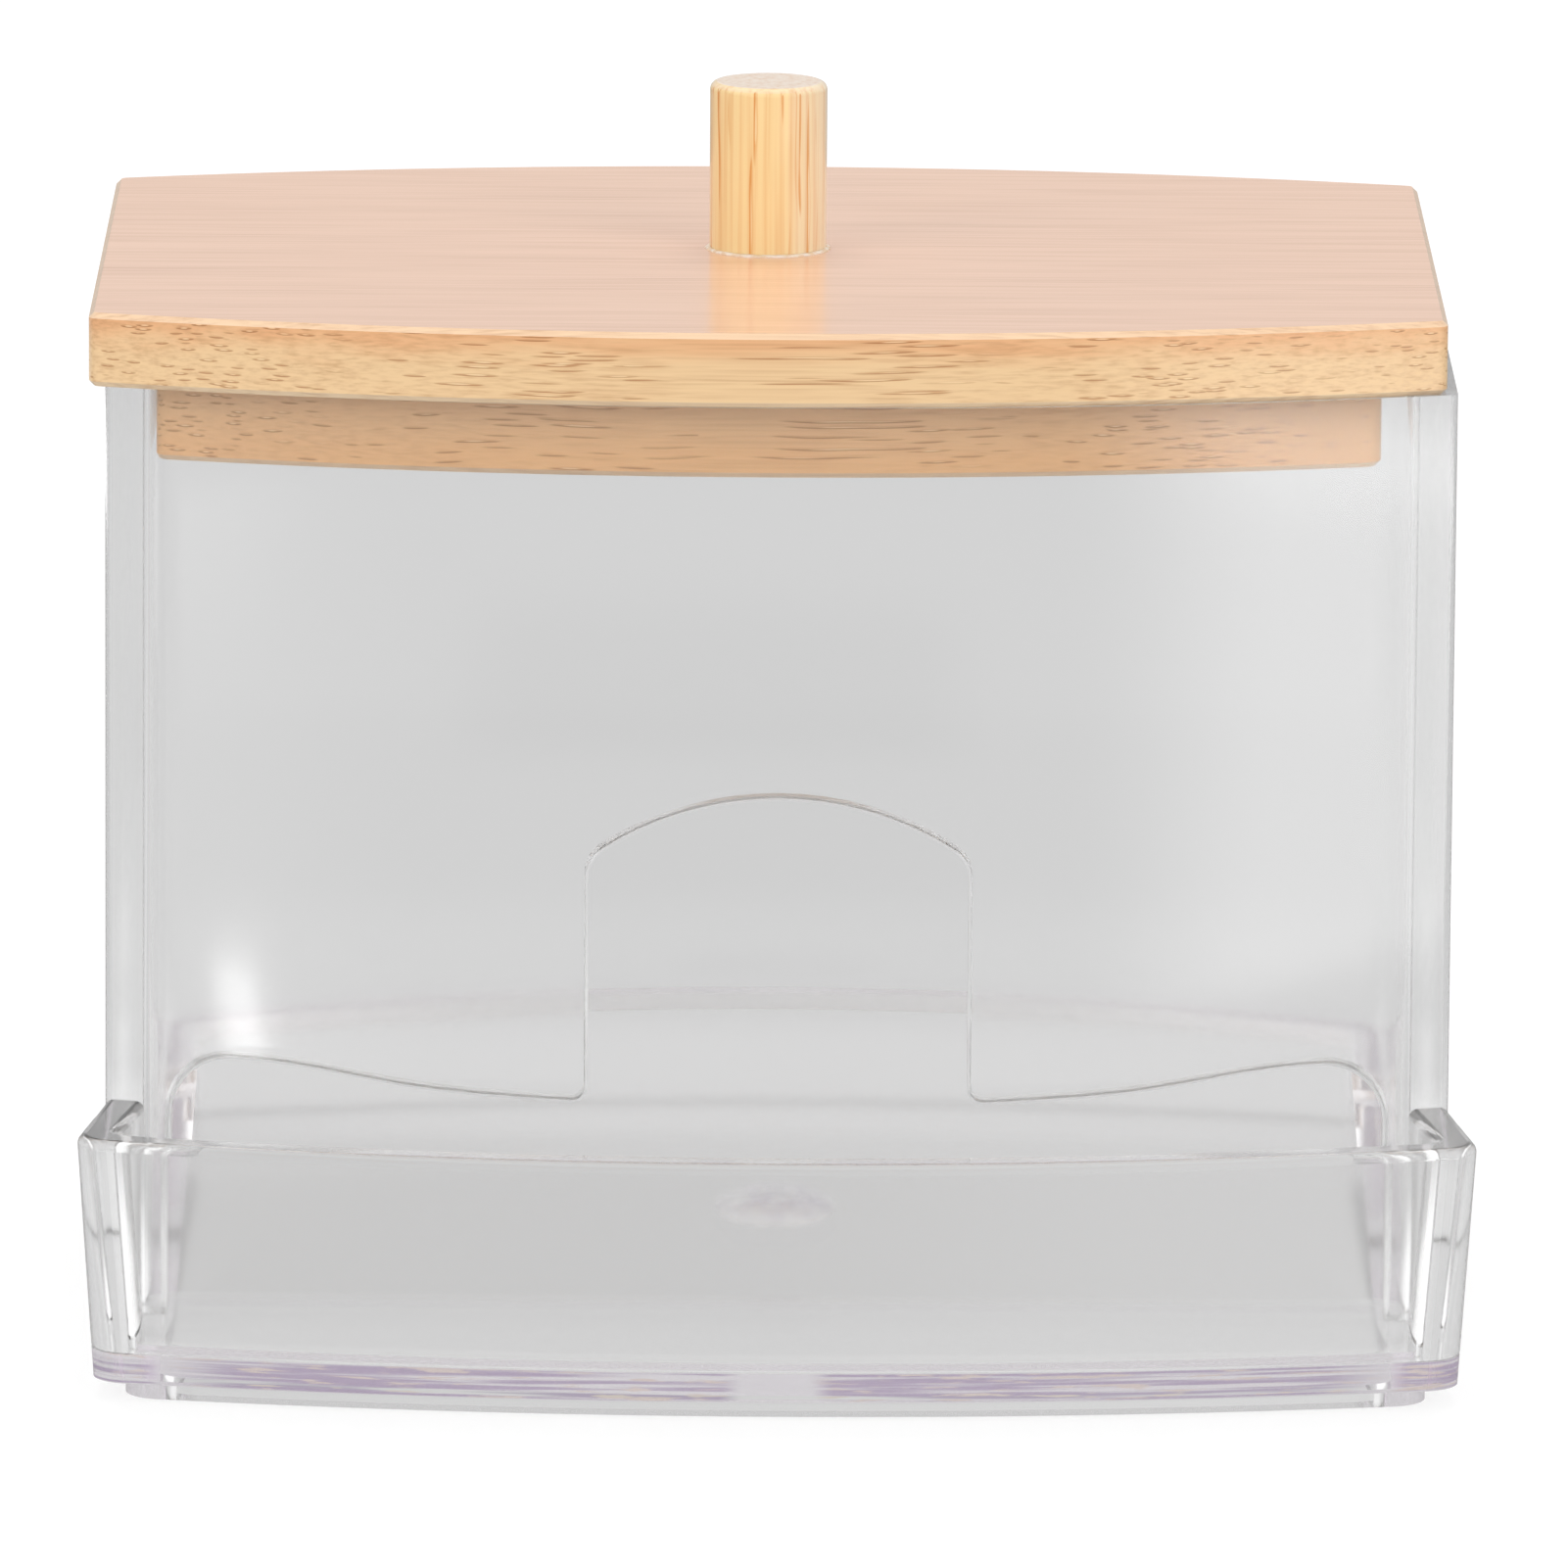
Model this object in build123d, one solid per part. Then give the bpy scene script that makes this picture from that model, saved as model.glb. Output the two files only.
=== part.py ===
from build123d import *
from math import cos, radians, sqrt, tan
import os

# Cotton swab box: a clear moulded box with bowed front and back walls, a scoop
# tray in front that the swabs roll down into, and a bamboo lid with a dowel knob.
# Millimetres. +X is to the right, +Y to the back wall, +Z up. The origin is on
# the table under the middle of the plan.

# Clear box, outside; heights in the shell are measured from just above the plate
box_width = 99.6
side_depth = 62.0
wall_bow = 7.5
wall = 3.1
shell_height = 69.3
outer_corner_radius = 0.8
inner_corner_radius = 1.5

# Scoop tray in front of the box
tray_reach = 14.3
lip_height = 15.7
tray_flare_top = 2.0
tray_flare_foot = 0.6
lip_bow_top = 7.5
lip_bow_foot = 5.5
lip_lean = 2.8
lip_corner_radius = 3.0
lip_edge_radius = 0.7

# Mouth and thumb notch in the front wall
mouth_leg = 1.8
mouth_corner_radius = 4.6
mouth_high = 19.3
mouth_wave = 17.8
mouth_low = 17.0
notch_width = 28.0
notch_side = 35.3
notch_crown = 40.0
notch_shoulder_radius = 2.4
notch_foot_radius = 1.2
mouth_edge = 0.2

# Base plate with its ramp
foot_height = 1.6
foot_inset = 2.3
foot_band = 3.0
plate = 2.65
ramp_angle = 10.2
ramp_setback = 6.5
ramp_clearance = 0.25
skirt = 2.0
gate_diameter = 9.1
gate_rise = 1.2

# Seam: the shell's walls stand in a rebate round the plate, on a film of cement
plate_rebate = 0.4
rebate_clearance = 0.1
bond_film = 0.05
seam_edge = 0.15

# Bamboo lid
lid_overhang = 0.2
lid_thick = 5.5
lid_corner_radius = 1.0
lid_edge = 0.4
lid_shift = -1.0
plug_thick = 5.9
plug_clearance = 1.7
knob_diameter = 8.8
knob_height = 12.7
knob_seat = 3.0
knob_fit = 0.05
knob_edge = 0.6

# Places worked out from the sizes above
body_depth = side_depth + 2 * wall_bow
back_crown_y = (body_depth + tray_reach) / 2
front_crown_y = back_crown_y - body_depth
front_corner_y = front_crown_y + wall_bow
middle_y = (back_crown_y + front_crown_y) / 2
plate_z = foot_height + plate
rebate_z = plate_z - plate_rebate
shell_z = plate_z + bond_film
seam_z = rebate_z + bond_film
rim_z = shell_z + shell_height
lip_z = shell_z + lip_height
ramp_start_y = front_corner_y + ramp_setback
ramp_slope = tan(radians(ramp_angle))
back_face_y = back_crown_y - wall


def bow_radius(half, bow):
    return (half**2 + bow**2) / (2 * bow)


def bowed_y(crown_y, half, bow, inset, x, side):
    """Y at x on a bowed wall, inset from its outer face; side is 1 at the back, -1 in front."""
    radius = bow_radius(half, bow)
    return crown_y + side * (sqrt((radius - inset) ** 2 - x**2) - radius)


def box_plan(inset, corner):
    """Plan of the box, inset from its outer faces: straight sides, bowed front and back."""
    half = box_width / 2 - inset
    crown = body_depth / 2
    edge = bowed_y(crown, box_width / 2, wall_bow, inset, half, 1)
    back = ThreePointArc((-half, edge), (0, crown - inset), (half, edge))
    right = Line((half, edge), (half, -edge))
    front = ThreePointArc((half, -edge), (0, inset - crown), (-half, -edge))
    left = Line((-half, -edge), (-half, edge))
    face = make_face(Curve() + [back, right, front, left])
    face = Pos(0, middle_y) * face
    return fillet(face.vertices(), corner)


def tray_plan(inset, level, corner):
    """Plan of the box and its tray together; level is 0 at the foot and 1 at the lip's top."""
    half = box_width / 2 - inset
    flare = tray_flare_foot + (tray_flare_top - tray_flare_foot) * level
    bow = lip_bow_foot + (lip_bow_top - lip_bow_foot) * level
    crown = front_crown_y - tray_reach + lip_lean * (1 - level)
    lip_half = box_width / 2 + flare
    lip_y = bowed_y(crown, lip_half, bow, inset, lip_half - inset, -1)
    back_y = bowed_y(back_crown_y, box_width / 2, wall_bow, inset, half, 1)
    inner_half = lip_half - inset
    edges = [
        ThreePointArc((-half, back_y), (0, back_crown_y - inset), (half, back_y)),
        Line((half, back_y), (half, front_corner_y)),
        Line((half, front_corner_y), (inner_half, lip_y)),
        ThreePointArc((inner_half, lip_y), (0, crown + inset), (-inner_half, lip_y)),
        Line((-inner_half, lip_y), (-half, front_corner_y)),
        Line((-half, front_corner_y), (-half, back_y)),
    ]
    face = make_face(Curve() + edges)
    corners = face.vertices().sort_by(Axis.Y)
    face = fillet(corners[:2], corner)
    corners = face.vertices().sort_by(Axis.Y)
    return fillet(corners[-2:], min(corner, inner_corner_radius))


def tray_block(inset, corner):
    """Solid that fills the tapered plan from the foot to the top of the lip."""
    low = Pos(0, 0, foot_height) * tray_plan(inset, 0, corner)
    high = Pos(0, 0, lip_z) * tray_plan(inset, 1, corner)
    return loft([low.face(), high.face()], ruled=True)


def mouth_outline():
    """Mouth and thumb notch as one opening, drawn in X and Z above the shell's bottom edge."""
    half = box_width / 2 - wall - mouth_leg
    notch_half = notch_width / 2
    peak_x = half - mouth_corner_radius
    wave_x = (notch_half + peak_x) / 2
    low = (notch_half, mouth_low)
    peak = (peak_x, mouth_high)
    centre = (peak_x, mouth_high - mouth_corner_radius)
    edges = [
        Line((0, 0), (half, 0)),
        Line((half, 0), (half, centre[1])),
        CenterArc(centre, mouth_corner_radius, 0, 90),
        Spline(low, (wave_x, mouth_wave), peak, tangents=[(1, 0.05), (1, 0)]),
        Line(low, (notch_half, notch_side)),
    ]
    arch = ThreePointArc((-notch_half, notch_side), (0, notch_crown), (notch_half, notch_side))
    mirrored = [mirror(edge, Plane.YZ) for edge in edges]
    face = make_face(Curve() + edges + mirrored + [arch])
    shoulders = [v for v in face.vertices() if abs(v.Y - notch_side) < 0.01]
    face = fillet(shoulders, notch_shoulder_radius)
    feet = [v for v in face.vertices() if abs(v.Y - mouth_low) < 0.01]
    return fillet(feet, notch_foot_radius)


def mouth_cutter():
    """Runs straight through the front wall and stops short of the lip."""
    margin = wall / 3
    outline = Plane.XZ * mouth_outline()
    depth = wall_bow + wall + 2 * margin
    cutter = extrude(outline, amount=depth)
    return Pos(0, front_crown_y - margin + depth, shell_z) * cutter


def make_shell():
    """Side, back and front walls with the tray's lip, moulded in one and open below."""
    height = rim_z - seam_z
    outer = extrude(box_plan(0, outer_corner_radius), amount=height)
    inner = extrude(box_plan(wall, inner_corner_radius), amount=height)
    tube = Pos(0, 0, seam_z) * (outer - inner)
    hollow = tray_block(wall, inner_corner_radius)
    tray = tray_block(0, lip_corner_radius) - hollow
    tray = fillet(tray.edges().group_by(Axis.Z)[-1], lip_edge_radius)
    tray = split(tray, Plane.XY.offset(seam_z), keep=Keep.TOP)
    tray = split(tray, Plane.XZ.offset(-front_corner_y - wall), keep=Keep.TOP)
    walls = tube + tray - split(hollow, Plane.XY.offset(shell_z), keep=Keep.BOTTOM)
    cutter = mouth_cutter()
    shell = walls - cutter
    shell = chamfer(new_edges(walls, cutter, combined=shell), mouth_edge)
    return chamfer(shell.faces().sort_by(Axis.Z)[0].outer_wire().edges(), seam_edge)


def ramp_profile(y_start, y_end, z_floor, drop):
    """Wedge under a line parallel to the ramp and drop below it, as a face in Y and Z."""
    start_top = plate_z - drop + (y_start - ramp_start_y) * ramp_slope
    end_top = plate_z - drop + (y_end - ramp_start_y) * ramp_slope
    points = [(y_start, z_floor), (y_end, z_floor), (y_end, end_top), (y_start, start_top)]
    return Plane.YZ * make_face(Polyline(*points, close=True))


def make_base():
    """Plate on a foot rim, rebated for the shell, with the ramp raised out of it and hollow below."""
    slab = split(tray_block(0, lip_corner_radius), Plane.XY.offset(rebate_z), keep=Keep.BOTTOM)
    step = tray_block(wall + rebate_clearance, inner_corner_radius)
    step = split(step, Plane.XY.offset(plate_z), keep=Keep.BOTTOM)
    rim_outer = tray_plan(foot_inset, 0, lip_corner_radius)
    rim_inner = tray_plan(foot_inset + foot_band, 0, lip_corner_radius)
    rim = extrude(rim_outer - rim_inner, amount=foot_height)
    top_z = plate_z + (back_face_y - ramp_start_y) * ramp_slope
    bay = extrude(box_plan(wall + ramp_clearance, inner_corner_radius), amount=top_z + plate)
    wedge = extrude(ramp_profile(ramp_start_y, back_crown_y, foot_height, 0), amount=box_width, both=True)
    wedge = wedge & bay
    drop = plate / cos(radians(ramp_angle))
    cavity_start = ramp_start_y + drop / ramp_slope - plate / ramp_slope
    under = extrude(ramp_profile(cavity_start, back_crown_y, 0, drop), amount=box_width, both=True)
    hollow = extrude(box_plan(wall + ramp_clearance + skirt, inner_corner_radius), amount=top_z)
    base = slab + step + rim + wedge - (under & hollow)
    return base + gate_mark()


def gate_mark():
    """Low dome left by the mould's gate, on the ramp at the middle of the plan."""
    radius = bow_radius(gate_diameter / 2, gate_rise)
    root = plate / 4
    ball = Pos(0, 0, gate_rise - radius) * Sphere(radius)
    cap = ball & Pos(0, 0, (gate_rise - root) / 2) * Cylinder(gate_diameter, gate_rise + root)
    gate_z = plate_z - ramp_start_y * ramp_slope
    return Location((0, 0, gate_z), (ramp_angle, 0, 0)) * cap


def make_lid_board():
    """Bowed bamboo board with eased edges and a blind hole for the dowel."""
    board = extrude(box_plan(-lid_overhang, lid_corner_radius), amount=lid_thick)
    levels = board.edges().group_by(Axis.Z)
    board = chamfer(levels[-1] + levels[0], lid_edge)
    hole = Cylinder(knob_diameter / 2 + knob_fit, knob_seat, align=(Align.CENTER, Align.CENTER, Align.MAX))
    board = board - Pos(0, middle_y, lid_thick) * hole
    return Pos(lid_shift, 0, rim_z) * board


def make_plug_board():
    """Inner board, glued under the lid, that drops inside the box's walls."""
    plan = box_plan(wall + plug_clearance, inner_corner_radius)
    board = extrude(plan, amount=-plug_thick)
    board = chamfer(board.edges().group_by(Axis.Z)[0], lid_edge)
    return Pos(lid_shift, 0, rim_z) * board


def make_knob():
    """Plain dowel with an eased top edge, standing in the lid's blind hole."""
    dowel = Cylinder(knob_diameter / 2, knob_height + knob_seat, align=(Align.CENTER, Align.CENTER, Align.MIN))
    dowel = fillet(dowel.edges().group_by(Axis.Z)[-1], knob_edge)
    return Pos(lid_shift, middle_y, rim_z + lid_thick - knob_seat) * dowel


os.makedirs("parts", exist_ok=True)
export_step(make_shell(), "parts/box_shell.step")
export_step(make_base(), "parts/base_ramp.step")
export_step(make_lid_board(), "parts/lid_board.step")
export_step(make_plug_board(), "parts/plug_board.step")
export_step(make_knob(), "parts/knob.step")
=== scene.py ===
import math
import random

import bmesh
import bpy
from mathutils import Matrix, Vector


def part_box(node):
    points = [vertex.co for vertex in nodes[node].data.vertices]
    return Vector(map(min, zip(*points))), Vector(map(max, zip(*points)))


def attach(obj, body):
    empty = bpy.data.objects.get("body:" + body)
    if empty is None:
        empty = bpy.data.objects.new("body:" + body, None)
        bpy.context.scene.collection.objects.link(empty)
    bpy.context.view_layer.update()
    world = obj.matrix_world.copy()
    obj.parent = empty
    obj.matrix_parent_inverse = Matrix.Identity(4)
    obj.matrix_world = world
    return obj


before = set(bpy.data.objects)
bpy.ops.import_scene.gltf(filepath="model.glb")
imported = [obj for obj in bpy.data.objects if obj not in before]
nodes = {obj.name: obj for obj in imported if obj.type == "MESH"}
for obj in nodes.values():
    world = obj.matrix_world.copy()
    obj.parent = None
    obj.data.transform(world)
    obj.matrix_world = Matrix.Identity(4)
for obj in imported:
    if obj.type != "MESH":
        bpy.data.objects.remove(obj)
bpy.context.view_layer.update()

# A clear moulded swab box with a bamboo lid, on a white table in soft studio light.
# Metres, in the frame of the CAD part: +X to the right, +Y to the back wall, +Z up.

MM = 0.001

# Camera
aim = Vector((0.0005, 0.00715, 0.038))
camera_azimuth = math.radians(-0.242)
camera_elevation = math.radians(11.14)
camera_distance = 1.3638
camera_roll = math.radians(0.40)
camera_lens = 413.9
camera_sensor = 36.0
camera_near = 0.05
camera_far = 50.0

# Floor: to the camera its face, lit and shadowed, is mixed with a white glow of its own
floor_radius = 3.0
floor_sides = 96
floor_drop = 0.02 * MM
floor_grey = 0.78
floor_white = 1.25
floor_glow = 0.65

# Painted shade and light on the table as it shows through the plastic: its level below the ramp,
# a painted shadow below the front, painted shade and a painted band of shade behind, and painted
# light beside the tray. The painted shadow below the front eases by a share under the lip, and by a
# step towards the right.
ramp_shade = 0.73
lip_shade = 0.585
lip_easing = 0.32
right_easing = 0.055
back_shade = 0.625
band_shade = 0.03
beside_light = 0.5

# Painted light on the table in the mirror of the plastic: levels near the lip and further out,
# painted bright sectors on the right and the left, and a painted glowing patch
lip_shine = 0.35
table_shine = 1.05
right_shine = 2.5
right_far_gain = 1.6
left_shine = 0.6
glow_patch_level = 4.5

# Where those levels change: soft steps in millimetres ahead of the middle of the box
below_front = (-58, -40)
lip_eases = (15, 22)
back_starts = (-88, -102)
band_starts = (-212, -220)
band_ends = (-305, -270)
beside_starts = (-25, -5)
beside_ends = (70, 50)
shine_starts = (112, 132)
right_starts = (150, 160)
left_starts = (60, 100)
glow_patch_starts = (106, 110)
glow_patch_ends = (158, 154)

# The same across the table, and as reach from the middle of the front wall; the two middles are
# added to the place first
right_eases = (-10, 40)
band_middle = (5, 0, 0)
band_half = (26, 18)
beside_inner = (50.5, 52)
beside_outer = (110, 80)
front_middle = (0, 28, 0)
right_far = (388, 400)
shine_ends = (446, 430)

# Sideways slopes, across over ahead, that bound the painted sectors and the painted patch of light,
# and where these start
right_root = 15
right_slopes = (0.25, 0.55)
left_root = -10
left_slopes = (-0.35, -0.7)
glow_patch_left = (-0.705, -0.69)
glow_patch_right = (-0.62, -0.635)

# World: directions, soft steps of their share, and levels
front_aim = (0.0, -1.0, 0.4)
front_spread = (0.5, 0.95)
side_spread = (0.75, 0.95)
rise_aim = (0.0, -0.5, 1.0)
rise_spread = (0.1, 0.6)
tent_white = 1.0
table_shade = 0.675
backdrop_level = 0.62
front_white = 1.5
front_light = 3.2
side_light = 0.25
room_level = 0.57

# Lamps: name, place, width and height, power in watts
lamp_target = (0, 0, 0.05)
lamps = (
    ("key", (0.85, -1.05, 0.6), 0.8, 0.8, 5.6),
    ("fill", (-1.0, -0.8, 0.7), 0.6, 0.8, 4.6),
    ("top", (0.0, 0.4, 1.3), 0.9, 0.6, 6.2),
)

# Light crosses the clear walls many times before it leaves them
plastic_bounces = 100

# Bamboo boards and dowel, from the imported solids. Where the boards' wood goes over to its skin
# side is in millimetres of height. The middle and the right side of the dowel, in millimetres,
# bound a painted light that makes the dowel paler towards its right side.
lid_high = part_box("lid_board")[1]
plug_low, plug_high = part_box("plug_board")
knob_low, knob_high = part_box("knob")
lid_top = lid_high[2] / MM
plug_foot = plug_low[2] / MM
plug_top = plug_high[2] / MM
knob_x = (knob_low[0] + knob_high[0]) / 2
knob_y = (knob_low[1] + knob_high[1]) / 2
knob_radius = (knob_high[0] - knob_low[0]) / 2
knob_middle = knob_x / MM
knob_right = knob_high[0] / MM

# Base plate in millimetres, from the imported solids, and the top of the foot rim under it
base_low, base_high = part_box("base_ramp")
shell_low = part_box("box_shell")[0]
base_middle = ((base_low[0] + base_high[0]) / 2 / MM, (base_low[1] + base_high[1]) / 2 / MM, 0.0)
base_half = ((base_high[0] - base_low[0]) / 2 / MM, (base_high[1] - base_low[1]) / 2 / MM, 1.0)
foot_top = 1.6
seam = shell_low[2] / MM

# Glue pressed out round the foot of the dowel
glue_width = 0.35 * MM
glue_height = 0.20 * MM
glue_sink = 0.04 * MM
glue_steps = 72
glue_uneven = 0.12 * MM
glue_seed = 7
glue_weld = 0.001 * MM

# Shoulder and crest of the bead, as shares of its width and height
glue_shoulder = (0.8, 0.45)
glue_crest = (0.4, 0.8)


class Wire:
    """A shader socket that takes part in Python sums; each sum adds a Math node."""

    def __init__(self, tree, socket=None):
        self.tree = tree
        self.socket = socket

    def node(self, kind, settings=None, values=None, out=0):
        """Adds a node of that type, its settings first, then its sockets' values or links."""
        made = self.tree.nodes.new(kind)
        for name, value in (settings or {}).items():
            setattr(made, name, value)
        for name, value in (values or {}).items():
            if isinstance(value, Wire):
                self.tree.links.new(value.socket, made.inputs[name])
            else:
                made.inputs[name].default_value = value
        return Wire(self.tree, made.outputs[out])

    def beside(self, out):
        """Another output of the node that this wire leaves."""
        return Wire(self.tree, self.socket.node.outputs[out])

    def math(self, operation, *values):
        return self.node("ShaderNodeMath", {"operation": operation}, dict(enumerate(values)))

    def vector(self, operation, *values, out=0):
        """Vector Math with this wire as its first value."""
        inputs = dict(enumerate((self, *values)))
        return self.node("ShaderNodeVectorMath", {"operation": operation}, inputs, out)

    def part(self, axis):
        return self.node("ShaderNodeSeparateXYZ", values={0: self}, out=axis)

    def __add__(self, other):
        return self.math("ADD", self, other)

    def __radd__(self, other):
        return self.math("ADD", other, self)

    def __sub__(self, other):
        return self.math("SUBTRACT", self, other)

    def __rsub__(self, other):
        return self.math("SUBTRACT", other, self)

    def __mul__(self, other):
        return self.math("MULTIPLY", self, other)

    def __rmul__(self, other):
        return self.math("MULTIPLY", other, self)

    def __truediv__(self, other):
        return self.math("DIVIDE", self, other)

    def __rtruediv__(self, other):
        return self.math("DIVIDE", other, self)

    def smooth(self, start, end):
        """0 before start and 1 after end, with a soft step between; start may be above end."""
        inputs = {"Value": self, "From Min": start, "From Max": end}
        return self.node("ShaderNodeMapRange", {"interpolation_type": "SMOOTHSTEP"}, inputs)

    def blend(self, low, high):
        """The colour low where this value is 0 and high where it is 1."""
        inputs = {"Factor": self, "A": low, "B": high}
        return self.node("ShaderNodeMix", {"data_type": "RGBA"}, inputs, out=2)

    def noise(self, factors, detail=2.0, out=0):
        """Noise of about 0 to 1 at this place, scaled by those factors."""
        inputs = {"Vector": self.vector("MULTIPLY", factors), "Scale": 1.0, "Detail": detail}
        return self.node("ShaderNodeTexNoise", values=inputs, out=out)


def new_material(name):
    """An empty material and its tree's first wire."""
    material = bpy.data.materials.new(name)
    material.use_nodes = True
    material.node_tree.nodes.clear()
    return material, Wire(material.node_tree)


def finish_tree(start, output_kind, **shaders):
    """Links the finished shaders to the tree's output, by the names of its sockets."""
    output = start.tree.nodes.new(output_kind)
    for socket, shader in shaders.items():
        start.tree.links.new(shader.socket, output.inputs[socket])


def finish_material(start, **shaders):
    finish_tree(start, "ShaderNodeOutputMaterial", **shaders)


def colour(red, green, blue):
    """An sRGB colour, 0 to 255, as the linear values that a shader takes."""
    shares = [level / 255 for level in (red, green, blue)]
    linear = [s / 12.92 if s <= 0.04045 else ((s + 0.055) / 1.055) ** 2.4 for s in shares]
    return (*linear, 1.0)


def millimetres(start):
    """Object coordinates in millimetres."""
    place = start.node("ShaderNodeTexCoord", out="Object")
    return place.vector("MULTIPLY", (1 / MM, 1 / MM, 1 / MM))


# Violet tone of the base's plastic through its length: absorption colour, and density per metre
violet_glass = (0.74, 0.50, 0.76, 1.0)
violet_density = 1.6

# Tints that streak the plate's front edge; their noise in factors per millimetre, and soft steps
no_tint = (1, 1, 1, 1)
edge_violet = (0.44, 0.34, 0.52, 1.0)
edge_amber = (0.90, 0.74, 0.62, 1.0)
streak_noise = (0.05, 0.05, 3.0)
streak_shows = (0.38, 0.55)
fleck_noise = (0.25, 0.25, 4.0)
fleck_shows = (0.55, 0.65)

# Where the tints show: the plain gap in their middle and the plate's edge in millimetres, and the
# shares of the plan's half width and half depth from which on they show
edge_gap = (2.31, 4.29)
edge_above_foot = (0.02, 0.1)
edge_below_seam = 0.15
edge_rim = (0.89, 0.92)
edge_front = (-0.55, -0.75)

# Index of the clear plastic, and the waves and haze that the mould leaves in it
plastic_index = 1.49
swell_noise = (0.12, 0.12, 0.036)
swell_height = 0.006 * MM
moulded_haze = 0.08

# Frosted edge of the mouth and notch, its room in the front wall in millimetres, and the soft step
# that leaves out the faces that look to the front
frost_white = (0.9, 0.9, 0.9, 1.0)
frost_share = 0.5
frost_roughness = 0.5
frost_front = (-34, -33)
frost_back = (-19, -20)
frost_half = (46.2, 45.8)
frost_facing = (0.9, 0.8)

# Mark of the mould's gate: lumps, painted grey shade in arcs between them so the lumps read as
# lit, and its room in millimetres
lump_noise = (0.5, 0.5, 0.5)
lump_height = 0.25 * MM
arc_starts = (0.42, 0.46)
arc_ends = (0.54, 0.50)
gate_painted_shade = (0.80, 0.77, 0.85, 1.0)
gate_radius = 4.5
gate_edge = 0.75
gate_above_foot = (3, 4)


def clear_surface(start, relief, tint, roughness):
    """Clear plastic under a relief in metres."""
    inputs = {
        "Base Color": tint,
        "Roughness": roughness,
        "IOR": plastic_index,
        "Transmission Weight": 1.0,
        "Normal": start.node("ShaderNodeBump", values={"Height": relief, "Distance": 1.0}),
    }
    return start.node("ShaderNodeBsdfPrincipled", values=inputs)


def frost_over(clear, share):
    """White scattering over that share of a clear surface."""
    inputs = {"Base Color": frost_white, "Roughness": frost_roughness}
    frost = clear.node("ShaderNodeBsdfPrincipled", values=inputs)
    return clear.node("ShaderNodeMixShader", values={0: share * frost_share, 1: clear, 2: frost})


def mould_swell(place):
    """Long low waves on the plastic's faces, in metres."""
    return place.noise(swell_noise) * swell_height


def clear_shell():
    """Clear plastic, with a frosted edge round the mouth and notch of the front wall."""
    material, start = new_material("clear_shell")
    place = millimetres(start)
    depth = place.part("Y")
    facing = start.node("ShaderNodeTexCoord", out="Normal").vector("ABSOLUTE").part("Y")
    side = place.vector("ABSOLUTE").part("X")
    in_wall = depth.smooth(*frost_front) * depth.smooth(*frost_back) * side.smooth(*frost_half)
    frosted = facing.smooth(*frost_facing) * in_wall
    clear = clear_surface(start, mould_swell(place), no_tint, moulded_haze)
    finish_material(start, Surface=frost_over(clear, frosted))
    return material


def clear_base():
    """Clear plastic, violet and amber in the plate's front edge, and a gate mark with painted
    shade.
    """
    material, start = new_material("clear_base")
    place = millimetres(start)
    height = place.part("Z")
    share = place.vector("SUBTRACT", base_middle).vector("DIVIDE", base_half)
    side = share.vector("ABSOLUTE").part("X")
    outside = side.math("MAXIMUM", side, share.part("Y") * -1).smooth(*edge_rim)
    edge = outside * share.part("Y").smooth(*edge_front)
    edge = edge * height.smooth(*(foot_top + rise for rise in edge_above_foot))
    edge = edge * height.smooth(seam, seam - edge_below_seam)
    edge = edge * side.smooth(*(half / base_half[0] for half in edge_gap))
    streak = place.noise(streak_noise)
    fleck = place.noise(fleck_noise, detail=3.0)
    violet = (edge * streak.smooth(*streak_shows)).blend(no_tint, edge_violet)
    tint = (edge * fleck.smooth(*fleck_shows)).blend(violet, edge_amber)
    from_gate = place.vector("MULTIPLY", (1, 1, 0)).vector("LENGTH", out="Value")
    mark = from_gate.smooth(gate_radius, gate_radius * gate_edge)
    mark = mark * height.smooth(*(foot_top + rise for rise in gate_above_foot))
    lumps = place.noise(lump_noise, detail=3.0)
    relief = mould_swell(place) + lumps * mark * lump_height
    # Painted shade in grey arcs between the gate mark's lumps, so the lumps read as lit
    painted_arc_shade = mark * lumps.smooth(*arc_starts) * lumps.smooth(*arc_ends)
    tint_with_painted_arcs = painted_arc_shade.blend(tint, gate_painted_shade)
    surface = clear_surface(start, relief, tint_with_painted_arcs, (1 - mark) * moulded_haze)
    inputs = {"Color": violet_glass, "Density": violet_density}
    inside = start.node("ShaderNodeVolumeAbsorption", values=inputs)
    finish_material(start, Surface=surface, Volume=inside)
    return material


# Spacing of the fibre bundles in bamboo, in millimetres, and how far they scatter and wander
bundle_length = 24.0
bundle_wide = 0.52
bundle_thick = 0.36
bundle_scatter = 0.85
bundle_wander = 1.5
wander_noise = (0.05, 0.05, 0.05)
fibre_length = 30.0

# A bundle's dark ring and pale core, as soft steps of the distance from its middle
ring_inside = (0.12, 0.19)
ring_outside = (0.38, 0.28)
core_outside = (0.18, 0.08)
core_share = 0.5

# Which bundles show, by chance, and what is left of them on the inner side of the wood. Which
# side of a ring shows in full, and what is left of the other.
bundle_chance = (0.8, 0.5)
inner_share = 0.8
ring_side = (0.12, -0.12)
ring_share = 0.3

# Millimetres of the lid's height over which the wood goes over to its skin side
skin_depth = 3.0

# Fine streaks: weights of fibres and patches, the level between, and the soft step to a streak
fibre_tone = 1.2
patch_tone = 0.5
tone_level = 0.3
tone_shows = (0.1, 0.8)

# Noise factors per millimetre, in boards and dowel: fibres across the grain, and patches of tone,
# with the millimetres over which the patches scatter the skin side
board_fibre = 4.5
board_patch = (0.05, 0.55, 0.7)
dowel_fibre = 2.2
dowel_patch = (0.8, 0.8, 0.02)
patch_reach = 3.0

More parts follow.
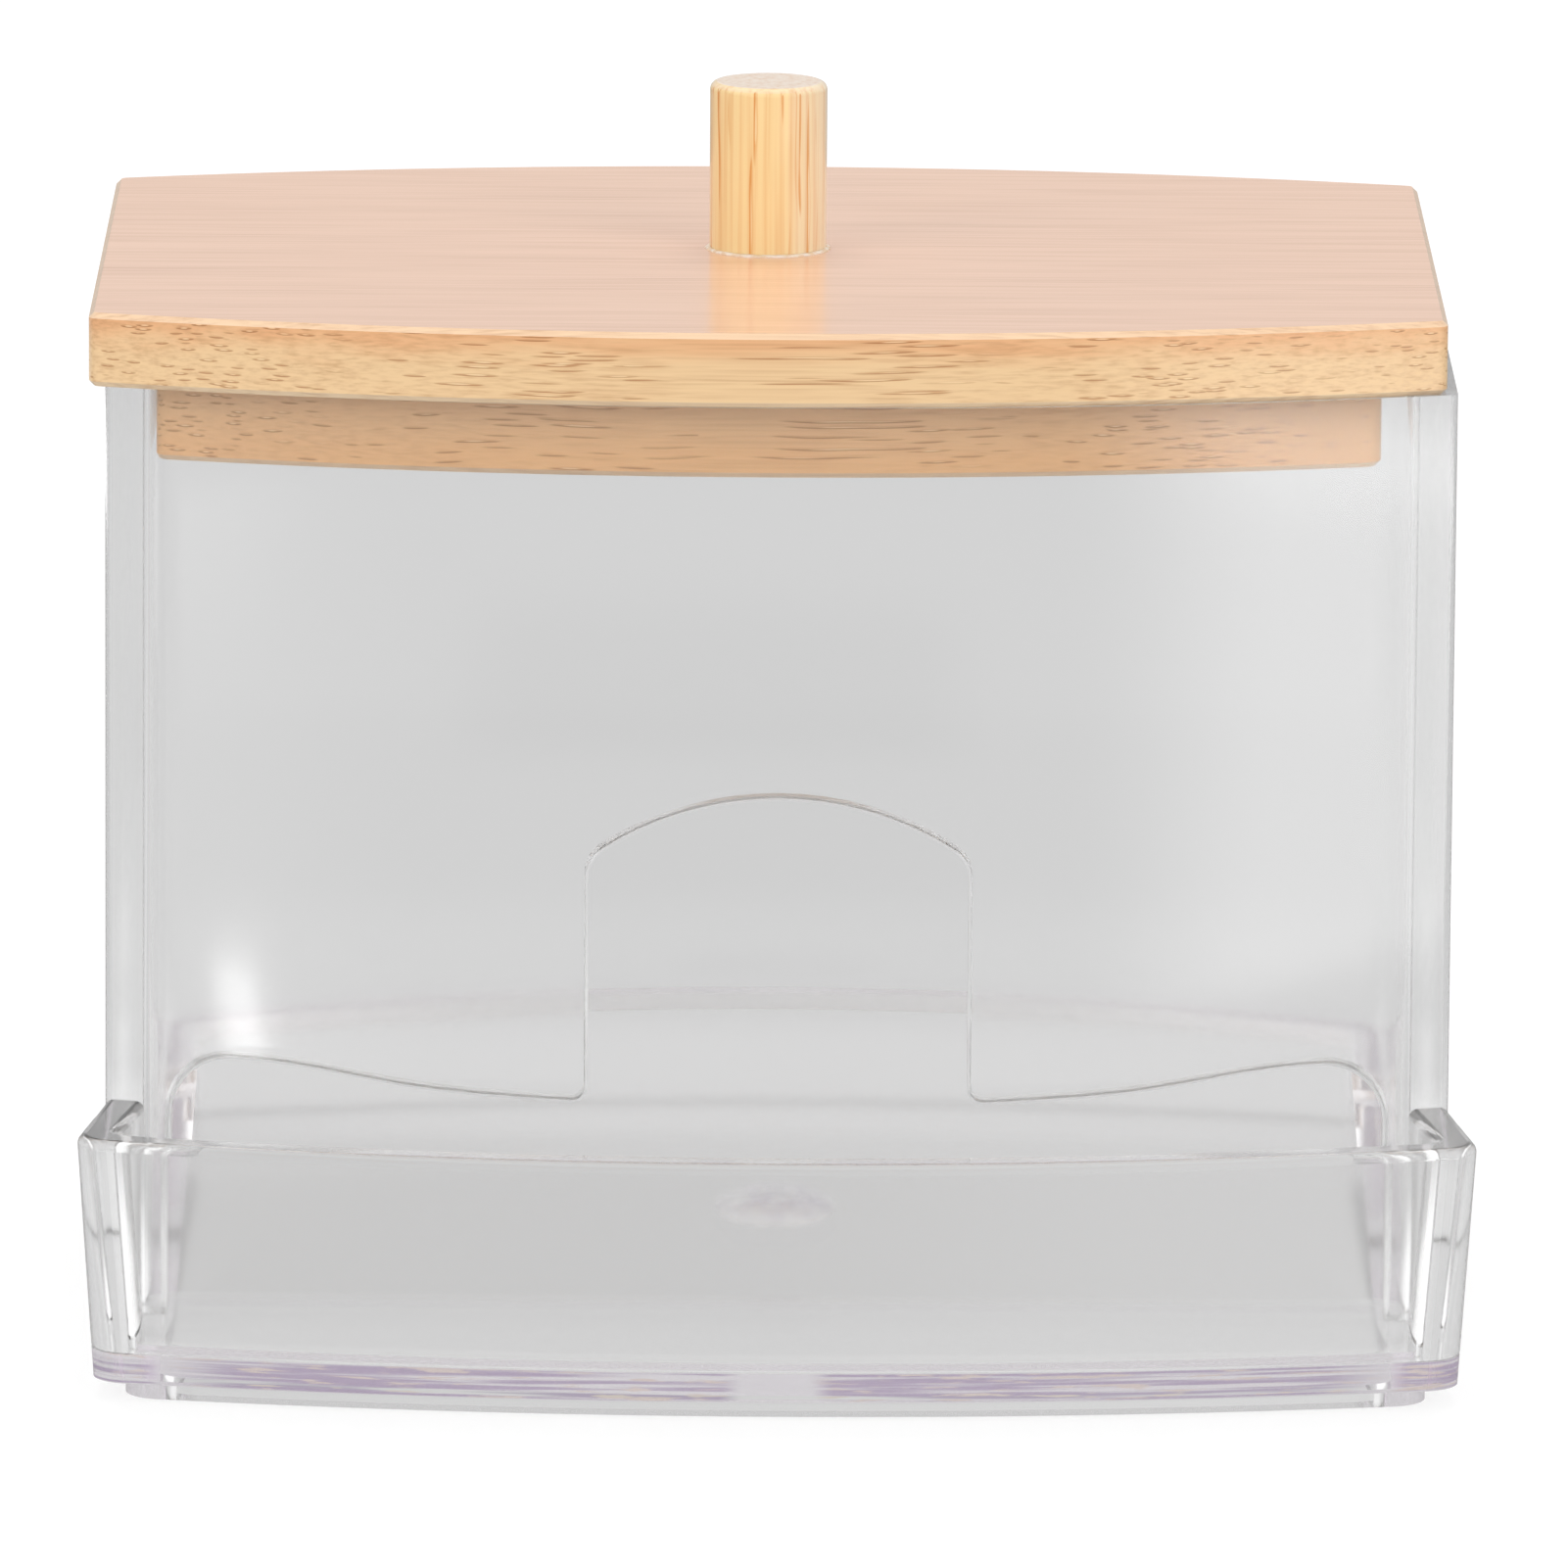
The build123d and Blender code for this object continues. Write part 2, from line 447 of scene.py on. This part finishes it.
# Soft steps of how far a face looks up or down: marks fade, a painted highlight on eased edges
# shows, flat faces show
marks_fade = (0.8, 0.4)
eased_starts = (0.4, 0.6)
eased_ends = (0.95, 0.85)
flat_starts = (0.95, 0.99)
edge_highlight_share = 0.6

# Relief of the fibres and of the glue
relief_height = 0.1 * MM
fibre_relief = 0.08
glue_relief = 0.4

# Varnish and wood under it, and the glue
glue_roughness = 0.3
glue_noise = (1.4, 1.4, 1.4)
glue_tones = (0.35, 0.65)
wood_roughness = 0.45
wood_index = 1.45
varnish_roughness = 0.16
varnish_index = 1.5


def bamboo(name, grain, pale_or_lit, skin_or_body, flat, line, skin_or_unlit_from, skin_or_unlit_to, gloss, streaks):
    """Pressed bamboo, cut from a solid pattern whose fibre bundles run along the grain.

    A bundle shows as a long streak or a lens where an edge cuts it, and not on the flat faces,
    which have the colour flat. In a board the wood goes from its pale inner side to its skin side
    between the two given heights. In the dowel the same blend runs along X and is painted light,
    paler towards the dowel's right side.
    """
    material, start = new_material(name)
    place = millimetres(start)
    if grain == "X":
        cell = (1 / bundle_length, 1 / bundle_wide, 1 / bundle_thick)
        fine = (1 / fibre_length, board_fibre, board_fibre)
        broad = board_patch
    else:
        cell = (1 / bundle_wide, 1 / bundle_wide, 1 / bundle_length)
        fine = (dowel_fibre, dowel_fibre, 1 / fibre_length)
        broad = dowel_patch
    drift = place.noise(wander_noise, out="Color")
    bent = drift.vector("MULTIPLY_ADD", (bundle_wander, bundle_wander, bundle_wander), place)
    bundles = bent.vector("MULTIPLY", cell)
    inputs = {"Vector": bundles, "Scale": 1.0, "Randomness": bundle_scatter}
    distance = start.node("ShaderNodeTexVoronoi", values=inputs)
    offset = bundles.vector("SUBTRACT", distance.beside("Position"))
    under = offset.part("Z" if grain == "X" else "X").smooth(*ring_side)
    chance = distance.beside("Color").part("X")
    patch = bent.noise(broad)
    fibre = place.noise(fine, detail=3.0)
    across = place.part("Z" if grain == "X" else "X")
    # Skin side in a board; in the dowel, painted light that makes its right side paler
    skin_or_unlit = (across + (patch - 0.5) * patch_reach).smooth(skin_or_unlit_from, skin_or_unlit_to)
    facing = start.node("ShaderNodeTexCoord", out="Normal").vector("ABSOLUTE").part("Z")
    present = chance.smooth(*bundle_chance) * (skin_or_unlit * (1 - inner_share) + inner_share)
    present = present * facing.smooth(*marks_fade)
    ring = distance.smooth(*ring_inside) * distance.smooth(*ring_outside)
    ring = ring * (under * (1 - ring_share) + ring_share)
    core = distance.smooth(*core_outside)
    eased = facing.smooth(*eased_starts) * facing.smooth(*eased_ends)
    ground = facing.smooth(*flat_starts).blend(skin_or_unlit.blend(pale_or_lit, skin_or_body), flat)
    # Painted highlight along the eased edges
    ground = (eased * edge_highlight_share).blend(ground, painted_edge_highlight)
    tone = (fibre - 0.5) * fibre_tone + (patch - 0.5) * patch_tone + tone_level
    toned = (tone.smooth(*tone_shows) * streaks).blend(ground, line)
    lined = (ring * present).blend(toned, line)
    shade = (core * present * core_share).blend(lined, bundle_core)
    relief = {"Height": fibre, "Strength": fibre_relief, "Distance": relief_height}
    inputs = {
        "Base Color": shade,
        "Roughness": wood_roughness,
        "IOR": wood_index,
        "Coat Weight": gloss,
        "Coat Roughness": varnish_roughness,
        "Coat IOR": varnish_index,
        "Normal": start.node("ShaderNodeBump", values=relief),
    }
    finish_material(start, Surface=start.node("ShaderNodeBsdfPrincipled", values=inputs))
    return material


def dried_glue():
    """Milky glue, uneven where it was pressed out."""
    material, start = new_material("dried_glue")
    lumps = millimetres(start).noise(glue_noise)
    relief = {"Height": lumps, "Strength": glue_relief, "Distance": relief_height}
    inputs = {
        "Base Color": lumps.smooth(*glue_tones).blend(glue_dark, glue_pale),
        "Roughness": glue_roughness,
        "Normal": start.node("ShaderNodeBump", values=relief),
    }
    finish_material(start, Surface=start.node("ShaderNodeBsdfPrincipled", values=inputs))
    return material


def painted_glow_patch(place, ahead):
    """Small painted patch of light on the left, brighter than white, that the front wall mirrors.
    """
    across = (place.part("X") - left_root) / ahead
    glow_patch = across.smooth(*glow_patch_left) * across.smooth(*glow_patch_right)
    return glow_patch * ahead.smooth(*glow_patch_starts) * ahead.smooth(*glow_patch_ends) * glow_patch_level


def table_mirrored(place, ahead):
    """The table as the front wall mirrors it, with painted bright sectors on the right and the
    left.
    """
    reach = place.vector("ADD", front_middle).vector("LENGTH", out="Value")
    right = ((place.part("X") - right_root) / ahead).smooth(*right_slopes)
    right = right * (ahead.smooth(*right_starts) + reach.smooth(*right_far) * right_far_gain)
    left = ((place.part("X") - left_root) / ahead).smooth(*left_slopes)
    left = left * ahead.smooth(*left_starts)
    table = ahead.smooth(*shine_starts) * (table_shine - lip_shine)
    # Painted light: bright sectors on the table that the plastic mirrors
    shine = right * right_shine + left * left_shine + table
    return shine * reach.smooth(*shine_ends) + lip_shine


def table_through(place, ahead):
    """The table through the plastic: painted shadow under the box, painted light beside the tray.
    """
    # Painted shadow of the box on the table below its front
    painted_box_shadow = ahead.smooth(*below_front) * (1 - ahead.smooth(*lip_eases) * lip_easing)
    back = ahead.smooth(*back_starts)
    band = ahead.smooth(*band_starts) * ahead.smooth(*band_ends)
    band = band * place.vector("ADD", band_middle).vector("ABSOLUTE").part("X").smooth(*band_half)
    side = place.vector("ABSOLUTE").part("X")
    beside = side.smooth(*beside_inner) * side.smooth(*beside_outer)
    beside = beside * ahead.smooth(*beside_starts) * ahead.smooth(*beside_ends)
    shade = ramp_shade - painted_box_shadow * (ramp_shade - lip_shade) - back * (ramp_shade - back_shade)
    shade = shade + place.part("X").smooth(*right_eases) * painted_box_shadow * right_easing
    return shade - band * band_shade + beside * beside_light


def studio_floor():
    """White to the camera; to light the plastic turns, the table's pale grey with painted shade and
    light.
    """
    material, start = new_material("studio_floor")
    seen = start.node("ShaderNodeLightPath", out="Is Camera Ray")
    glossy = seen.beside("Is Glossy Ray")
    through = seen.beside("Is Transmission Ray")
    place = millimetres(start)
    ahead = place.part("Y") * -1
    # Painted patch of light on the table, glowing brighter than white
    glow_patch = painted_glow_patch(place, ahead)
    shine = table_mirrored(place, ahead) + glow_patch
    shade = table_through(place, ahead) + glow_patch
    grey = (floor_grey, floor_grey, floor_grey, 1)
    lit = start.node("ShaderNodeBsdfDiffuse", values={"Color": grey})
    shown = seen * floor_white + (glossy - through) * shine + through * shade
    glow = start.node("ShaderNodeEmission", values={"Strength": shown})
    mask = seen * floor_glow + glossy
    surface = start.node("ShaderNodeMixShader", values={0: mask, 1: lit, 2: glow})
    finish_material(start, Surface=surface)
    return material


def build_floor():
    mesh = bpy.data.meshes.new("floor")
    shape = bmesh.new()
    bmesh.ops.create_circle(shape, cap_ends=True, segments=floor_sides, radius=floor_radius)
    bmesh.ops.translate(shape, verts=shape.verts, vec=(0, 0, -floor_drop))
    shape.to_mesh(mesh)
    shape.free()
    floor = bpy.data.objects.new("floor", mesh)
    bpy.context.scene.collection.objects.link(floor)
    floor.data.materials.append(studio_floor())


def build_world():
    """White tent; through the plastic it is the table's grey, and bright in front of the box."""
    world = bpy.data.worlds.new("studio")
    bpy.context.scene.world = world
    world.use_nodes = True
    world.node_tree.nodes.clear()
    start = Wire(world.node_tree)
    seen = start.node("ShaderNodeLightPath", out="Is Camera Ray")
    glossy = seen.beside("Is Glossy Ray")
    through = seen.beside("Is Transmission Ray")
    # 1 for light on its way to a diffuse face, 0 for what the camera looks at through the plastic
    lighting = seen.math("MINIMUM", seen.beside("Diffuse Depth"), 1.0)
    direction = start.node("ShaderNodeTexCoord", out="Generated")
    front = direction.vector("DOT_PRODUCT", front_aim, out="Value").smooth(*front_spread)
    level = lighting * (front_light - front_white) + front_white
    sides = direction.vector("ABSOLUTE").part("X").smooth(*side_spread) * side_light
    inside = front * (level - table_shade) + table_shade + sides
    rise = direction.vector("DOT_PRODUCT", rise_aim, out="Value").smooth(*rise_spread)
    mirrored = rise * (tent_white - backdrop_level) + backdrop_level
    strength = seen * tent_white + (glossy - through) * mirrored + through * inside
    strength = strength + (1 - seen - glossy) * room_level
    inputs = {"Color": (1, 1, 1, 1), "Strength": strength}
    back = start.node("ShaderNodeBackground", values=inputs)
    finish_tree(start, "ShaderNodeOutputWorld", Surface=back)


def softbox(name, place, width, height, power):
    """Soft lamp that lights the wood and doesn't show in the plastic."""
    lamp = bpy.data.lights.new(name, "AREA")
    lamp.shape = "RECTANGLE"
    lamp.size = width
    lamp.size_y = height
    lamp.energy = power
    holder = bpy.data.objects.new(name, lamp)
    holder.location = place
    holder.rotation_mode = "QUATERNION"
    holder.rotation_quaternion = (Vector(lamp_target) - Vector(place)).to_track_quat("-Z", "Y")
    holder.visible_glossy = False
    holder.visible_transmission = False
    bpy.context.scene.collection.objects.link(holder)


def build_camera():
    lens = bpy.data.cameras.new("camera")
    lens.sensor_width = camera_sensor
    lens.lens = camera_lens
    lens.clip_start = camera_near
    lens.clip_end = camera_far
    camera = bpy.data.objects.new("camera", lens)
    back = Vector((
        math.sin(camera_azimuth) * math.cos(camera_elevation),
        -math.cos(camera_azimuth) * math.cos(camera_elevation),
        math.sin(camera_elevation),
    ))
    camera.location = aim + back * camera_distance
    camera.rotation_mode = "QUATERNION"
    level = (-back).to_track_quat("-Z", "Y")
    camera.rotation_quaternion = level @ Matrix.Rotation(camera_roll, 4, "Z").to_quaternion()
    bpy.context.scene.collection.objects.link(camera)
    bpy.context.scene.camera = camera


def build_glue():
    """Uneven bead in the corner between the dowel and the lid."""
    foot = lid_high[2]
    shape = bmesh.new()
    section = [
        (knob_radius - glue_sink, foot - glue_sink),
        (knob_radius + glue_width, foot - glue_sink),
        (knob_radius + glue_width * glue_shoulder[0], foot + glue_height * glue_shoulder[1]),
        (knob_radius + glue_width * glue_crest[0], foot + glue_height * glue_crest[1]),
        (knob_radius - glue_sink, foot + glue_height),
    ]
    corners = [shape.verts.new((knob_x + radius, knob_y, z)) for radius, z in section]
    edges = [shape.edges.new((a, b)) for a, b in zip(corners, corners[1:] + corners[:1])]
    bmesh.ops.spin(
        shape, geom=corners + edges, cent=(knob_x, knob_y, 0), axis=(0, 0, 1),
        angle=math.tau, steps=glue_steps, use_merge=True,
    )
    bmesh.ops.remove_doubles(shape, verts=shape.verts, dist=glue_weld)
    chance = random.Random(glue_seed)
    swell = [chance.uniform(-1, 1) for _ in range(glue_steps)]
    for vert in shape.verts:
        out = Vector((vert.co.x - knob_x, vert.co.y - knob_y, 0))
        if out.length > knob_radius:
            turn = math.atan2(out.y, out.x) / math.tau * glue_steps
            share = (out.length - knob_radius) / glue_width
            vert.co += out.normalized() * share * swell[round(turn) % glue_steps] * glue_uneven
    bmesh.ops.recalc_face_normals(shape, faces=shape.faces)
    mesh = bpy.data.meshes.new("glue_bead")
    shape.to_mesh(mesh)
    shape.free()
    bead = bpy.data.objects.new("glue_bead", mesh)
    bpy.context.scene.collection.objects.link(bead)
    mesh.materials.append(dried_glue())
    mesh.shade_smooth()
    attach(bead, "lid")


def dress(node, material):
    """Gives a CAD node its finish."""
    for index in range(len(node.data.materials)):
        node.data.materials[index] = material


pale_bamboo = colour(243, 206, 156)
skin_bamboo = colour(238, 180, 128)
flat_bamboo = colour(249, 202, 170)
plug_pale = colour(240, 196, 146)
plug_skin = colour(234, 182, 126)
# Dowel: a paler colour for painted light on its right side, and its body colour
dowel_painted_light = colour(255, 240, 205)
dowel_body = colour(255, 228, 168)
dowel_end = colour(255, 234, 212)
bundle_brown = colour(178, 116, 62)
bundle_core = colour(250, 225, 180)
stripe_orange = colour(230, 160, 80)
# Painted highlight on the eased edges of the wood
painted_edge_highlight = colour(252, 228, 196)
glue_dark = colour(240, 212, 178)
glue_pale = colour(252, 240, 226)

dress(nodes["box_shell"], clear_shell())
dress(nodes["base_ramp"], clear_base())
dress(nodes["lid_board"], bamboo(
    "bamboo_lid", "X", pale_bamboo, skin_bamboo, flat_bamboo, bundle_brown,
    skin_or_unlit_from=lid_top - skin_depth, skin_or_unlit_to=lid_top, gloss=0.85, streaks=0.45))
dress(nodes["plug_board"], bamboo(
    "bamboo_plug", "X", plug_pale, plug_skin, plug_skin, bundle_brown,
    skin_or_unlit_from=plug_top, skin_or_unlit_to=plug_foot, gloss=0.4, streaks=0.3))
# The dowel is painted paler towards its right side, as if lit there
dress(nodes["knob"], bamboo(
    "bamboo_knob", "Z", dowel_painted_light, dowel_body, dowel_end, stripe_orange,
    skin_or_unlit_from=knob_right, skin_or_unlit_to=knob_middle, gloss=1.0, streaks=0.65))
build_glue()

build_floor()
build_world()
for lamp in lamps:
    softbox(*lamp)
build_camera()

scene = bpy.context.scene
scene.cycles.max_bounces = plastic_bounces
scene.cycles.transmission_bounces = plastic_bounces
scene.cycles.glossy_bounces = plastic_bounces
scene.view_settings.view_transform = "Standard"
